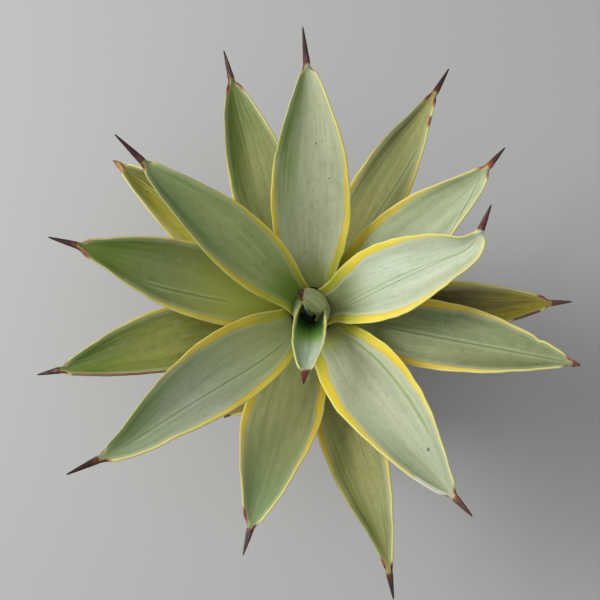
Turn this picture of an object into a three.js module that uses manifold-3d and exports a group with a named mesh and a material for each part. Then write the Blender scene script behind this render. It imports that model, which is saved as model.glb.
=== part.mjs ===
// A variegated smooth agave in a plain round clay pot, in millimetres, +Z up, standing on z = 0.
// The pot's axis is the Z axis, and the origin is the middle of its underside.
// Nineteen fleshy, channelled leaves grow in a golden-angle spiral on the domed top of one short stem,
// which stands in a plain hole in the soil. Each leaf is one solid with its terminal spine.
// Ages count from the youngest leaf, 0: older leaves stand lower on the stem and lean further out.
import * as THREE from "three";
import { mergeVertices } from "three/addons/utils/BufferGeometryUtils.js";
import Module from "manifold-3d";

const wasm = await Module();
wasm.setup();

const { clamp, degToRad, lerp, smoothstep } = THREE.MathUtils;

// The gap between pieces that rest against each other
const CLEARANCE = 0.3;

// The pot and its soil
const POT_HEIGHT = 84;
const POT_RIM_RADIUS = 46;
const POT_BAND_HEIGHT = 17;
const POT_BAND_STEP = 2.5;
const POT_FOOT_RADIUS = 32;
const POT_WALL = 4.5;
const POT_FLOOR = 6;
const POT_EDGE = 1.2;
const POT_SIDES = 48;
const DRAIN_HOLES = 3;
const DRAIN_RADIUS = 4;
const DRAIN_RING_RADIUS = 16;
const DRAIN_SIDES = 16;
const SOIL_BELOW_RIM = 6;
const SOIL_Z = POT_HEIGHT - SOIL_BELOW_RIM;

// The stem: its leafy dome follows the feet of the leaves down from the age of its flat top, above a neck
// that tapers into the soil
const YOUNGEST_FOOT_Z = 120;
const STEM_TOP_AGE = 3.75;
const HEIGHT_PER_LEAF = 1.75;
const DOME_TOP_RADIUS = 2.4;
const DOME_SPREAD = 4;
const DOME_RINGS = 8;
const NECK_RADIUS = 17;
const ROOT_RADIUS = 9;
const ROOT_DEPTH = 24;
const STEM_SIDES = 24;

// What all the leaves share, lengths in millimetres and places as a share of the blade's length
const FOOT_DEPTH = 7;
const FOOT_THICKNESS = 4.6;
const MIDDLE_THICKNESS = 3.2;
const END_THICKNESS = 2.2;
const MARGIN_THICKNESS = 0.9;
const THINNING_POWER = 0.8;
const THICK_UNTIL = 0.4;
const WIDEST_AT = 0.43;
const FLARE = 0.12;
const SPINE_RADIUS = 1.5;
const SPINE_TIP_RADIUS = 0.25;
const SPINE_TAPER_POWER = 0.85;
const SPINE_STARTS_AT = 0.95;
const SHOULDER_HALF_WIDTH = 2.4;
const POINT_STARTS_AT = 0.6;

// How steeply a leaf climbs at its foot by its age, in degrees, and how much less at its tip
const YOUNGEST_CLIMB = 72.5;
const CLIMB_PER_LEAF = 2.2;
const CLIMB_LOST = 36;
const CLIMB_POWER = 1.5;
const CURL_STARTS_AT = 0.75;
const HOOK_STARTS_AT = 0.8;

// Half-angle of the channel's arc at the middle of the youngest leaf and by age, in degrees
const YOUNGEST_FOLD = 27.5;
const FOLD_PER_LEAF = 0.55;

// Where a leaf has its cross-sections, across its channel and along its blade and its spine
const ACROSS = [-1, -0.7, -0.36, 0, 0.36, 0.7, 1];
const ALONG = [0, 0.06, 0.14, 0.24, 0.35, 0.46, 0.57, 0.68, 0.78, 0.87, 0.93, 0.97, 1];
const ALONG_SPINE = [0.35, 0.7, 1];
const LINE_STEPS = 60;

// What a leaf has unless its row below says otherwise
const USUAL_LEAF = {
  swing: 0,
  hook: 0,
  curl: 0,
  lift: 0,
  arch: 0,
  neck: 0.5,
  tipFold: 60,
  point: 0.8,
  flesh: 1,
};

// The leaves from the youngest out. Angles are in degrees and lengths in millimetres.
// azimuth: direction of the foot from +X to +Y     length, width: of the blade without its spine
// spine: its length                                swing: turn of the heading along the whole blade
// hook: turn of the heading near the tip           lift: climbs steeper than its age gives
// arch: keeps more of its climb to the tip         curl: turns upwards near the tip
// fold: half-angle of the channel at the middle    wrap: the same at the foot
// tipFold: the same at the tip                     neck: width at the foot as a share of the width
// point: above 0.8 is a more drawn-out end         flesh: thickness as a share of the usual
const LEAVES = [
  { azimuth: 172, length: 25, width: 9.5, spine: 2, lift: 16, arch: 30, fold: 110, wrap: 100,
    tipFold: 80, neck: 1, flesh: 0.5 },
  { azimuth: 6, length: 35, width: 13, spine: 2, swing: -18, lift: 18, arch: 66, curl: 28, fold: 70,
    wrap: 85, neck: 1.3, flesh: 0.55 },
  { azimuth: 264, length: 56, width: 18.5, spine: 7, lift: 12, arch: 6, fold: 66, wrap: 140,
    neck: 1.9, point: 0.55, flesh: 0.7 },
  { azimuth: 145, length: 106, width: 28, spine: 14, hook: -6 },
  { azimuth: 13.2, length: 89, width: 34, spine: 10, swing: 4, hook: 52 },
  { azimuth: 221.5, length: 126, width: 33, spine: 12, hook: -14 },
  { azimuth: 91, length: 107, width: 36, spine: 14, hook: 6 },
  { azimuth: 303, length: 109, width: 36, spine: 9, hook: 8 },
  { azimuth: 172, length: 106, width: 34, spine: 11, swing: -8, hook: 3 },
  { azimuth: 34, length: 96, width: 31, spine: 10, swing: 4, hook: 10 },
  { azimuth: 255, length: 99, width: 35, spine: 10 },
  { azimuth: 114, length: 103, width: 31, spine: 12, swing: -9 },
  { azimuth: 346, length: 110, width: 32, spine: 3 },
  { azimuth: 192, length: 107, width: 31, spine: 9, swing: 9, hook: -8 },
  { azimuth: 60, length: 105, width: 27.5, spine: 12, point: 1 },
  { azimuth: 286.5, length: 111, width: 29, spine: 10, hook: -8, point: 1.15 },
  { azimuth: 143, length: 100, width: 28, spine: 3 },
  { azimuth: 0, length: 97, width: 27, spine: 9, swing: 4 },
  { azimuth: 230, length: 44, width: 24, spine: 2, point: 0.6 },
];

// A leaf's own colour goes from grey-green on the young leaves to olive on the oldest
const YOUNG_LEAF_COLOUR = new THREE.Color("#9fae8c");
const OLD_LEAF_COLOUR = new THREE.Color("#8f8c3f");
const LEAF_ROUGHNESS = 0.6;
const CLAY_COLOUR = "#b3623f";
const CLAY_ROUGHNESS = 0.85;
const SOIL_COLOUR = "#4a3a2c";
const SOIL_ROUGHNESS = 0.95;
const STEM_COLOUR = "#9a8a5c";
const STEM_ROUGHNESS = 0.8;

// A closed solid from a geometry, with its shared corners joined and its flat triangles left out
function solidOf(geometry) {
  const bare = geometry.clone();
  bare.deleteAttribute("normal");
  bare.deleteAttribute("uv");
  const merged = mergeVertices(bare, 1e-4);
  const triVerts = [];
  for (let i = 0; i < merged.index.count; i += 3) {
    const corners = [0, 1, 2].map((k) => merged.index.getX(i + k));
    if (new Set(corners).size === 3) {
      triVerts.push(...corners);
    }
  }
  return new wasm.Manifold(new wasm.Mesh({
    numProp: 3,
    vertProperties: new Float32Array(merged.attributes.position.array),
    triVerts: new Uint32Array(triVerts),
  }));
}

// A named mesh from a closed solid
function meshOf(name, solid, colour, roughness) {
  const { vertProperties, triVerts } = solid.getMesh();
  const geometry = new THREE.BufferGeometry();
  geometry.setAttribute("position", new THREE.BufferAttribute(vertProperties, 3));
  geometry.setIndex(new THREE.BufferAttribute(triVerts, 1));
  geometry.computeVertexNormals();
  const material = new THREE.MeshStandardMaterial({ color: colour, roughness, metalness: 0 });
  const mesh = new THREE.Mesh(geometry, material);
  mesh.name = name;
  return mesh;
}

// A solid turned round the Z axis from [radius, z] points that run up its outside
function turned(outline, sides) {
  const points = outline.map(([radius, z]) => new THREE.Vector2(radius, z));
  return solidOf(new THREE.LatheGeometry(points, sides).rotateX(Math.PI / 2));
}

// Radius of the pot's tapered outer wall, without its band
function potWallRadius(z) {
  return lerp(POT_FOOT_RADIUS, POT_RIM_RADIUS - POT_BAND_STEP, z / POT_HEIGHT);
}

function potBody() {
  const bandZ = POT_HEIGHT - POT_BAND_HEIGHT;
  const underBand = potWallRadius(bandZ);
  const outside = turned([
    [0, 0],
    [POT_FOOT_RADIUS - POT_EDGE, 0],
    [potWallRadius(POT_EDGE), POT_EDGE],
    [underBand, bandZ],
    [POT_RIM_RADIUS - POT_EDGE, bandZ],
    [POT_RIM_RADIUS, bandZ + POT_EDGE],
    [POT_RIM_RADIUS, POT_HEIGHT - POT_EDGE],
    [POT_RIM_RADIUS - POT_EDGE, POT_HEIGHT],
    [0, POT_HEIGHT],
  ], POT_SIDES);
  const inside = turned([
    [0, POT_FLOOR],
    [potWallRadius(POT_FLOOR) - POT_WALL, POT_FLOOR],
    [potWallRadius(POT_HEIGHT) - POT_WALL, POT_HEIGHT],
    [potWallRadius(POT_HEIGHT) - POT_WALL, POT_HEIGHT + POT_EDGE],
    [0, POT_HEIGHT + POT_EDGE],
  ], POT_SIDES);
  return outside.subtract(inside);
}

// A drain hole's cylinder, which passes right through the pot's floor
function drainHole(index) {
  const hole = new THREE.CylinderGeometry(DRAIN_RADIUS, DRAIN_RADIUS, 3 * POT_FLOOR, DRAIN_SIDES);
  const angle = (2 * Math.PI * index) / DRAIN_HOLES;
  hole.rotateX(Math.PI / 2);
  hole.translate(DRAIN_RING_RADIUS * Math.cos(angle), DRAIN_RING_RADIUS * Math.sin(angle), 0);
  return solidOf(hole);
}

function pot() {
  let body = potBody();
  for (let i = 0; i < DRAIN_HOLES; i += 1) {
    body = body.subtract(drainHole(i));
  }
  return body;
}

// The soil fills the pot, and has a plain hole for the stem
function soil() {
  const bottomZ = POT_FLOOR + CLEARANCE;
  const holeZ = SOIL_Z - ROOT_DEPTH - CLEARANCE;
  const inner = POT_WALL + CLEARANCE;
  return turned([
    [0, bottomZ],
    [potWallRadius(bottomZ) - inner, bottomZ],
    [potWallRadius(SOIL_Z) - inner, SOIL_Z],
    [NECK_RADIUS + CLEARANCE, SOIL_Z],
    [ROOT_RADIUS + CLEARANCE, holeZ],
    [0, holeZ],
  ], POT_SIDES);
}

// Where the foot of a leaf of a given age, which can be a fraction, stands on the stem
function footRadius(age) {
  return DOME_TOP_RADIUS + DOME_SPREAD * Math.sqrt(age);
}

function footHeight(age) {
  return YOUNGEST_FOOT_Z - HEIGHT_PER_LEAF * age;
}

// The stem, which can be grown all round to cut what must stay clear of it
function stem(grow) {
  const outline = [
    [0, SOIL_Z - ROOT_DEPTH - grow],
    [ROOT_RADIUS + grow, SOIL_Z - ROOT_DEPTH - grow],
    [NECK_RADIUS + grow, SOIL_Z],
  ];
  for (let i = DOME_RINGS; i >= 0; i -= 1) {
    const age = lerp(STEM_TOP_AGE, LEAVES.length, (i / DOME_RINGS) ** 2);
    outline.push([footRadius(age) + grow, footHeight(age) + grow]);
  }
  outline.push([0, footHeight(STEM_TOP_AGE) + grow]);
  return turned(outline, STEM_SIDES);
}

// A leaf's row with its age's climb and fold worked out
function leafOf(row, age) {
  const leaf = { fold: YOUNGEST_FOLD - FOLD_PER_LEAF * age, ...USUAL_LEAF, ...row, age };
  leaf.footClimb = YOUNGEST_CLIMB - CLIMB_PER_LEAF * age + leaf.lift;
  leaf.tipClimb = leaf.footClimb - CLIMB_LOST + leaf.arch;
  return leaf;
}

// The directions along the blade, out of its upper face and across it, at a share of its length
function directions(leaf, share) {
  const s = clamp(share, 0, 1);
  const climb = degToRad(lerp(leaf.tipClimb, leaf.footClimb, (1 - s) ** CLIMB_POWER)
    + leaf.curl * smoothstep(s, CURL_STARTS_AT, 1));
  const heading = degToRad(leaf.azimuth + leaf.swing * s + leaf.hook * smoothstep(s, HOOK_STARTS_AT, 1));
  const ahead = new THREE.Vector3(Math.cos(heading), Math.sin(heading), 0);
  const up = new THREE.Vector3(0, 0, 1);
  const along = ahead.clone().multiplyScalar(Math.cos(climb)).addScaledVector(up, Math.sin(climb));
  const out = ahead.clone().multiplyScalar(-Math.sin(climb)).addScaledVector(up, Math.cos(climb));
  return { along, out, across: along.clone().cross(out) };
}

// The middle of the blade at a share of its length. A share below 0 is inside the stem.
function middle(leaf, share) {
  const azimuth = degToRad(leaf.azimuth);
  const radius = footRadius(leaf.age);
  const point = new THREE.Vector3(radius * Math.cos(azimuth), radius * Math.sin(azimuth), footHeight(leaf.age));
  const steps = share > 0 ? LINE_STEPS : 1;
  for (let i = 0; i < steps; i += 1) {
    const { along } = directions(leaf, ((i + 0.5) / steps) * share);
    point.addScaledVector(along, (share * leaf.length) / steps);
  }
  return point;
}

// Half the width of the blade along its arc: a narrow neck, the widest place, then a drawn-out point
function halfWidth(leaf, share) {
  const s = Math.max(share, 0);
  const inner = lerp(leaf.neck, 1, Math.sin((Math.PI / 2) * (s / WIDEST_AT)));
  const flare = FLARE * Math.max(0, 1 - s / FLARE) ** 2;
  const outer = Math.max(0, 1 - ((s - WIDEST_AT) / (1 - WIDEST_AT)) ** 2) ** leaf.point;
  const profile = s < WIDEST_AT ? inner + flare : outer;
  return Math.hypot((leaf.width / 2) * profile, SHOULDER_HALF_WIDTH * smoothstep(s, POINT_STARTS_AT, 1));
}

// Half-angle of the channel's arc. At the foot the leaf wraps the stem.
function channel(leaf, share) {
  const fold = degToRad(leaf.fold);
  if (share < WIDEST_AT) {
    const wrap = leaf.wrap ? degToRad(leaf.wrap) : halfWidth(leaf, 0) / footRadius(leaf.age);
    return lerp(wrap, fold, smoothstep(share, 0, WIDEST_AT));
  }
  return lerp(fold, degToRad(leaf.tipFold), smoothstep(share, WIDEST_AT, 1));
}

// Thickness in the middle of the channel
function thickness(leaf, share) {
  const fleshy = lerp(FOOT_THICKNESS, MIDDLE_THICKNESS, smoothstep(share, 0, THICK_UNTIL));
  const lost = (MIDDLE_THICKNESS - END_THICKNESS) * smoothstep(share, THICK_UNTIL, 1);
  return leaf.flesh * (fleshy - lost);
}

// One cross-section of the blade: its upper face from one margin to the other, and its lower face back
function bladeRing(leaf, share, grow) {
  const { out, across } = directions(leaf, share);
  const centre = middle(leaf, share);
  const halfAngle = channel(leaf, share);
  const arcRadius = (halfWidth(leaf, share) + grow) / halfAngle;
  const thick = thickness(leaf, share);
  const margin = Math.min(MARGIN_THICKNESS, thick);
  const face = (u, side) => {
    const angle = halfAngle * u;
    const depth = lerp(margin, thick, (1 - u * u) ** THINNING_POWER) / 2 + grow;
    return centre.clone()
      .addScaledVector(across, arcRadius * Math.sin(angle))
      .addScaledVector(out, arcRadius * (1 - Math.cos(angle)))
      .addScaledVector(out, side * depth * Math.cos(angle))
      .addScaledVector(across, -side * depth * Math.sin(angle));
  };
  return [...ACROSS.map((u) => face(u, 1)), ...ACROSS.toReversed().map((u) => face(u, -1))];
}

// A round cross-section with as many points, in the same order
function roundRing(leaf, centre, radius) {
  const { out, across } = directions(leaf, 1);
  const count = 2 * ACROSS.length;
  return Array.from({ length: count }, (_, i) => {
    const angle = Math.PI * (1 - (2 * i + 1) / count);
    return centre.clone()
      .addScaledVector(across, radius * Math.cos(angle))
      .addScaledVector(out, radius * Math.sin(angle));
  });
}

// The blade's cross-sections, which turn round where the spine starts
function bladeRings(leaf, grow) {
  return [-FOOT_DEPTH / leaf.length, ...ALONG].map((share) => {
    const ring = bladeRing(leaf, share, grow);
    const round = roundRing(leaf, middle(leaf, share), SPINE_RADIUS + grow);
    const blend = smoothstep(share, SPINE_STARTS_AT, 1);
    return ring.map((point, i) => point.lerp(round[i], blend));
  });
}

function spineRings(leaf, grow) {
  const { along } = directions(leaf, 1);
  const root = middle(leaf, 1);
  return ALONG_SPINE.map((q) => {
    const radius = lerp(SPINE_TIP_RADIUS, SPINE_RADIUS, (1 - q) ** SPINE_TAPER_POWER);
    const centre = root.clone().addScaledVector(along, q * (leaf.spine + grow));
    return roundRing(leaf, centre, radius + grow);
  });
}

// A closed solid through rings of equally many points, with a flat fan on each end
function loft(rings) {
  const count = rings[0].length;
  const last = (rings.length - 1) * count;
  const index = [];
  for (let i = 0; i < last; i += count) {
    for (let j = 0; j < count; j += 1) {
      const next = (j + 1) % count;
      index.push(i + j, i + next, i + count + j);
      index.push(i + next, i + count + next, i + count + j);
    }
  }
  for (let j = 1; j < count - 1; j += 1) {
    index.push(0, j + 1, j);
    index.push(last, last + j, last + j + 1);
  }
  const geometry = new THREE.BufferGeometry().setFromPoints(rings.flat());
  geometry.setIndex(index);
  return solidOf(geometry);
}

function leafSolid(leaf, grow) {
  return loft([...bladeRings(leaf, grow), ...spineRings(leaf, grow)]);
}

// The largest body of a solid that a cut has left in several
function largest(solid) {
  return solid.decompose().reduce((a, b) => (b.volume() > a.volume() ? b : a));
}

// Each leaf is cut back to clear the stem and the younger leaves that it wraps
function leafMeshes() {
  let taken = stem(CLEARANCE);
  return LEAVES.map((row, age) => {
    const leaf = leafOf(row, age);
    const body = largest(leafSolid(leaf, 0).subtract(taken));
    taken = taken.add(leafSolid(leaf, CLEARANCE));
    const colour = YOUNG_LEAF_COLOUR.clone().lerp(OLD_LEAF_COLOUR, (age / (LEAVES.length - 1)) ** 3);
    return meshOf(`leaf_${String(age + 1).padStart(2, "0")}`, body, colour, LEAF_ROUGHNESS);
  });
}

const plant = new THREE.Group();
plant.add(meshOf("stem", stem(0), STEM_COLOUR, STEM_ROUGHNESS), ...leafMeshes());

const pottedAgave = new THREE.Group();
pottedAgave.add(
  meshOf("pot", pot(), CLAY_COLOUR, CLAY_ROUGHNESS),
  meshOf("soil", soil(), SOIL_COLOUR, SOIL_ROUGHNESS),
  plant,
);

export default pottedAgave;
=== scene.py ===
"""Looks of a variegated smooth agave in a plain round clay pot.

Lengths are in millimetres until a mesh is made. A share is a place along a leaf's blade, from 0 at its foot
to 1 where its spine starts. Across is a place on the blade from -1 at its left margin to 1 at its right, seen
from above and looking towards the tip. Ages count from the youngest leaf, 0.
"""
import math

import bpy
import numpy as np
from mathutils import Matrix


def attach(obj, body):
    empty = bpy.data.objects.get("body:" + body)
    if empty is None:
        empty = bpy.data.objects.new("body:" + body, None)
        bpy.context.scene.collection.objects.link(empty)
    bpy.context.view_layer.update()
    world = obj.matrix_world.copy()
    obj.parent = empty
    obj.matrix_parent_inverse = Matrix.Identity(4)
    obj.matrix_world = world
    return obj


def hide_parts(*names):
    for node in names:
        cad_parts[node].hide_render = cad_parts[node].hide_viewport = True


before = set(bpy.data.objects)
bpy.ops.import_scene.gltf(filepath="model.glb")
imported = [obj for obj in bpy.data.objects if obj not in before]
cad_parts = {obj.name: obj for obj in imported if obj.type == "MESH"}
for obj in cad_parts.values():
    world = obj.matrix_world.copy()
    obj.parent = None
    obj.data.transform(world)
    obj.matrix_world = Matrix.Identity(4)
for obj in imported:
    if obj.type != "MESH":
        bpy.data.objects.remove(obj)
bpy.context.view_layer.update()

MM = 0.001
BODY = "root"

# The pot and its soil, as in the part's source
POT_HEIGHT = 84
POT_RIM_RADIUS = 46
POT_BAND_HEIGHT = 17
POT_BAND_STEP = 2.5
POT_FOOT_RADIUS = 32
POT_WALL = 4.5
POT_FLOOR = 6
DRAIN_HOLES = 3
DRAIN_RADIUS = 4
DRAIN_RING_RADIUS = 16
SOIL_Z = 78
CLEARANCE = 0.3

# The stem
YOUNGEST_FOOT_Z = 120
STEM_TOP_AGE = 3.75
HEIGHT_PER_LEAF = 1.75
DOME_TOP_RADIUS = 2.4
DOME_SPREAD = 4
NECK_RADIUS = 17
ROOT_RADIUS = 9
ROOT_DEPTH = 24

# What the leaves share
FOOT_THICKNESS = 4.6
MIDDLE_THICKNESS = 3.2
END_THICKNESS = 2.2
MARGIN_THICKNESS = 0.9
THINNING_POWER = 0.8
THICK_UNTIL = 0.4
WIDEST_AT = 0.43
FLARE = 0.12
SPINE_RADIUS = 1.5
SPINE_TIP_RADIUS = 0.25
SPINE_TAPER_POWER = 0.85
SPINE_STARTS_AT = 0.95
SHOULDER_HALF_WIDTH = 2.4
POINT_STARTS_AT = 0.6
YOUNGEST_CLIMB = 72.5
CLIMB_PER_LEAF = 2.2
CLIMB_LOST = 36
CLIMB_POWER = 1.5
CURL_STARTS_AT = 0.75
HOOK_STARTS_AT = 0.8
YOUNGEST_FOLD = 27.5
FOLD_PER_LEAF = 0.55
LINE_STEPS = 400

USUAL_LEAF = dict(
    swing=0, hook=0, curl=0, lift=0, arch=0, neck=0.5, tip_fold=60, point=0.8, flesh=1, wrap=None,
)

# The leaves from the youngest out, with the same shapes as in the part's source
LEAVES = [
    dict(azimuth=172, length=25, width=9.5, spine=2, lift=16, arch=30, fold=110, wrap=100, tip_fold=80,
         neck=1, flesh=0.5),
    dict(azimuth=6, length=35, width=13, spine=2, swing=-18, lift=18, arch=66, curl=28, fold=70, wrap=85,
         neck=1.3, flesh=0.55),
    dict(azimuth=264, length=56, width=18.5, spine=7, lift=12, arch=6, fold=66, wrap=140, neck=1.9,
         point=0.55, flesh=0.7),
    dict(azimuth=145, length=106, width=28, spine=14, hook=-6),
    dict(azimuth=13.2, length=89, width=34, spine=10, swing=4, hook=52),
    dict(azimuth=221.5, length=126, width=33, spine=12, hook=-14),
    dict(azimuth=91, length=107, width=36, spine=14, hook=6),
    dict(azimuth=303, length=109, width=36, spine=9, hook=8),
    dict(azimuth=172, length=106, width=34, spine=11, swing=-8, hook=3),
    dict(azimuth=34, length=96, width=31, spine=10, swing=4, hook=10),
    dict(azimuth=255, length=99, width=35, spine=10),
    dict(azimuth=114, length=103, width=31, spine=12, swing=-9),
    dict(azimuth=346, length=110, width=32, spine=3),
    dict(azimuth=192, length=107, width=31, spine=9, swing=9, hook=-8),
    dict(azimuth=60, length=105, width=27.5, spine=12, point=1),
    dict(azimuth=286.5, length=111, width=29, spine=10, hook=-8, point=1.15),
    dict(azimuth=143, length=100, width=28, spine=3),
    dict(azimuth=0, length=97, width=27, spine=9, swing=4),
    dict(azimuth=230, length=44, width=24, spine=2, point=0.6),
]

# What a leaf's finish has unless its row below says otherwise.
# pale, deep: the streaks of the upper face     vivid: the green where the bloom is thin
# gold: the margin's yellow                      right, left: its widths near the foot, in mm
# tip_green, right_green, left_green: how far the vivid green shows at the tip and along each side
# foot: colour deep in the rosette, partly painted shade and light   scar: how far the spine's brown runs back, in mm
# foot_share, foot_depth, foot_green: how far that colour reaches, its strength, and the green round it
# right_fade, left_fade: how far the margin is gone towards the tip, on each side
# spine, root: colours of the spine              creases: [share, across] points
# crease_width, crease_colour: of those creases, in mm
# spots: [share, across, radius in mm]           nicks: [side, share, depth in mm, length in mm]
# dry: dry patches by the margin, [side, first share, last share, width in mm]
# dry_colour, dry_stain, dry_edge: colours of those patches, and how dark their outer edge is
# bloom: how much of the pale waxy bloom is left, from 0 to 1
USUAL_LOOK = dict(
    pale="#b4c19f", deep="#83966a", vivid="#6c8f3c", gold="#d8c63a", cream="#d2cf98", foot="#97a45c",
    right=3.2, left=3.2, tip_green=0.35, right_green=0, left_green=0, scar=4, spine="#211013",
    root="#5a2820", creases=[], spots=[], nicks=[], dry=[], brown_streaks=0, foot_share=0.22, foot_depth=0.75,
    foot_green=0.15, seam=0.3, right_fade=0.5, left_fade=0.5, crease_width=0.4, crease_colour="#6d7f4c",
    dry_colour="#c89a70", dry_stain="#8a4a30", dry_edge=0.7, bloom=1.0,
)

LOOKS = [
    # The dark feet of the three youngest leaves are painted shade of the hollow at the heart of the rosette
    dict(pale="#c9d3b0", deep="#a5b487", foot="#5f7d38", right=0.5, left=0.5, tip_green=0.1, scar=1,
         root="#7a5138", spine="#4a2c20"),
    dict(pale="#b3ba8a", deep="#8c9a5f", vivid="#5d8428", foot="#2c5010", right=0.8, left=0.8, tip_green=0.1,
         right_green=0.3, scar=2.5, foot_share=0.5, foot_depth=1.0, foot_green=0.5),
    dict(pale="#c3ccbd", deep="#99a78f", vivid="#69961e", foot="#1c4410", right=1.1, left=1.1, tip_green=0.1,
         right_green=0.6, scar=2, spine="#5a2822", root="#7c3d30", gold="#cfd69a", cream="#dde2c0",
         foot_share=0.62, foot_depth=1.0, foot_green=0.9, seam=0.1),
    dict(pale="#aab873", deep="#8b975b", vivid="#647f4c", foot="#728c38", right=2.2, left=2.4, gold="#cfc43a",
         tip_green=0.55, left_green=0.6, foot_share=0.3, foot_depth=1.0, left_fade=1, right_fade=0.9,
         spine="#34121a", spots=[[0.33, 0.1, 0.4]]),
    dict(pale="#ccd6be", deep="#a6b09a", vivid="#8a9038", foot="#80895a", gold="#e6d03c", right=3.4, left=3.8,
         tip_green=0.15, right_green=0.25, left_green=0.1, foot_share=0.38, foot_depth=0.9, seam=0.6,
         left_fade=0.2, right_fade=0.2, spine="#4a1822", root="#541a20", scar=1.5, crease_colour="#8b9c72",
         creases=[[[0.11, 0.25], [0.345, 0.05], [0.67, -0.02], [0.94, 0.03]],
                  [[0.14, 0.33], [0.525, 0.1], [0.755, 0.05], [0.925, 0.03]]],
         spots=[[0.51, 0.12, 0.35]]),
    dict(pale="#b2b9a2", deep="#929a84", vivid="#6b8430", foot="#a9b244", gold="#dcc236", right=3.8, left=2.8,
         tip_green=0.55, right_green=0.42, foot_share=0.65, foot_depth=0.4, right_fade=1, left_fade=0.1,
         creases=[[[0.15, -0.45], [0.375, -0.3], [0.535, -0.27], [0.78, -0.13], [0.885, -0.02]]], scar=5),
    dict(pale="#bdc29e", deep="#9aa080", vivid="#6b8338", foot="#8f9955", gold="#d8c33c", right=3, left=2.2,
         tip_green=0.1, left_green=0.9, foot_share=0.2, foot_depth=0.85, left_fade=1, right_fade=0.3,
         spots=[[0.545, 0.5, 0.4], [0.495, 0.05, 0.35], [0.685, 0.18, 0.5], [0.695, 0.38, 0.4]], scar=4),
    dict(pale="#c4c9a6", deep="#a1a687", vivid="#67805a", foot="#a2a854", gold="#e2c832", right=4.2, left=3.8,
         tip_green=0.3, right_green=0.4, left_green=0.25, foot_depth=0.85, right_fade=0.1, left_fade=0.6,
         creases=[[[0.165, -0.55], [0.36, -0.57], [0.54, -0.62], [0.75, -0.66]]], crease_width=0.9,
         crease_colour="#7f9a45", spots=[[0.795, -0.38, 0.9]], spine="#4a2c24", root="#80503a", scar=4,
         dry=[[1, 0.86, 0.985, 1.6]], dry_colour="#dedcc6", dry_stain="#c9c6a2", dry_edge=0.1),
    dict(pale="#8a935c", deep="#6a7346", vivid="#5a701c", foot="#aab054", right=1.6, left=2.8, gold="#cfbe4a",
         tip_green=1.05, right_green=0.25, foot_share=0.68, foot_depth=1.0, right_fade=0.8, left_fade=0.7,
         creases=[[[0.32, -0.32], [0.465, -0.4], [0.595, -0.47], [0.715, -0.6]]], crease_colour="#6e7a4c",
         scar=6, dry=[[-1, 0.94, 0.995, 1.4]]),
    dict(pale="#b6bf98", deep="#939a76", gold="#ccb42c", right=1.6, left=4.2, tip_green=0.05, left_green=0.25,
         left_fade=0.2, creases=[[[0.5, 0.8], [0.715, 0.86], [0.84, 0.65], [0.955, 0.1]]], root="#a5502e",
         scar=5),
    # Its pale foot is partly painted light, set against the shade that its neighbours cast there
    dict(pale="#acb072", deep="#8a8f5a", vivid="#6a8856", foot="#c8cf80", gold="#dfc034", right=4.4, left=3.6,
         tip_green=0.85, foot_depth=0.9, right_fade=0.3, left_fade=0.3, dry=[[1, 0.925, 0.995, 1.6]], scar=3,
         spine="#3b2422"),
    dict(pale="#a8ab6a", deep="#888b55", vivid="#5a6a24", right=2.4, left=1.7, gold="#cfca68", tip_green=1.0,
         left_green=1.0, left_fade=1, right_fade=0.6, scar=8),
    # Its pale foot is partly painted light, set against the shade that its neighbours cast there
    dict(pale="#929b67", deep="#758056", vivid="#60603a", foot="#c0cb80", right=3.2, left=3.8, gold="#d8ba36",
         tip_green=0, right_green=0.5, foot_depth=0.9, right_fade=0.3, left_fade=0.3,
         creases=[[[0.245, 0.03], [0.47, 0.05], [0.675, 0.07], [0.96, 0.03]]], crease_colour="#5f7040",
         spots=[[0.485, -0.47, 0.35], [0.865, 0.58, 0.4]], nicks=[[-1, 0.855, 0.8, 1.6]], spine="#7a4a35",
         root="#8d4f38", scar=4),
    dict(pale="#969845", deep="#787b38", vivid="#52691c", right=2.4, left=1.1, gold="#cfc448", tip_green=1.1,
         right_green=0.3, right_fade=0.7, left_fade=0.8, scar=5, dry=[[-1, 0.35, 0.95, 0.5]]),
    dict(pale="#b6b66c", deep="#929354", vivid="#5e662c", right=3, left=2, gold="#cdb834", tip_green=0.05,
         left_green=1.0, right_green=0.3, left_fade=1, right_fade=0.4, brown_streaks=0.4,
         creases=[[[0.3, 0.3], [0.435, 0.35], [0.585, 0.48], [0.75, 0.72]]], dry=[[1, 0.845, 0.885, 1.4]],
         scar=8),
    dict(pale="#bebc74", deep="#9b9b5e", vivid="#656f28", gold="#d6bc42", right=2.8, left=2.8, tip_green=0.65,
         right_green=0.6, left_green=0.4, right_fade=0.9, left_fade=0.5, brown_streaks=0.45,
         spots=[[0.905, -0.15, 0.4]], dry=[[1, 0.935, 1.0, 1.4]], scar=6),
    dict(pale="#c2ba3e", deep="#a09832", vivid="#646214", gold="#c4b434", right=2.2, left=2.6, foot="#8f8a30",
         tip_green=1.15, right_green=0.8, spots=[[0.81, -0.35, 0.6]], scar=4, spine="#8a5322", root="#b07a30",
         bloom=0.3, brown_streaks=0.2, dry=[[-1, 0.96, 1.0, 2.5]]),
    dict(pale="#584e12", deep="#3f360c", vivid="#a69924", gold="#a3942a", right=1.8, left=3.4, foot="#4a3f16",
         tip_green=0.8, right_green=1.0, left_green=0.1, brown_streaks=0.35, left_fade=0.1,
         dry=[[1, 0.8, 0.93, 0.8], [-1, 0.93, 0.99, 1.6]], scar=4, spine="#5e4434", root="#70492e",
         bloom=0.1),
    dict(pale="#a98a24", deep="#856a18", vivid="#7d6c22", gold="#97801c", foot="#5a4718", right=1, left=1,
         tip_green=0, brown_streaks=0.4, scar=1, spine="#7a5a22", root="#7e6020", bloom=0.2),
]

CORNER_POINTS = 5


def smooth(x, low=0.0, high=1.0):
    t = np.clip((x - low) / (high - low), 0, 1)
    return t * t * (3 - 2 * t)


def lerp(a, b, t):
    return a + (b - a) * t


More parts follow.
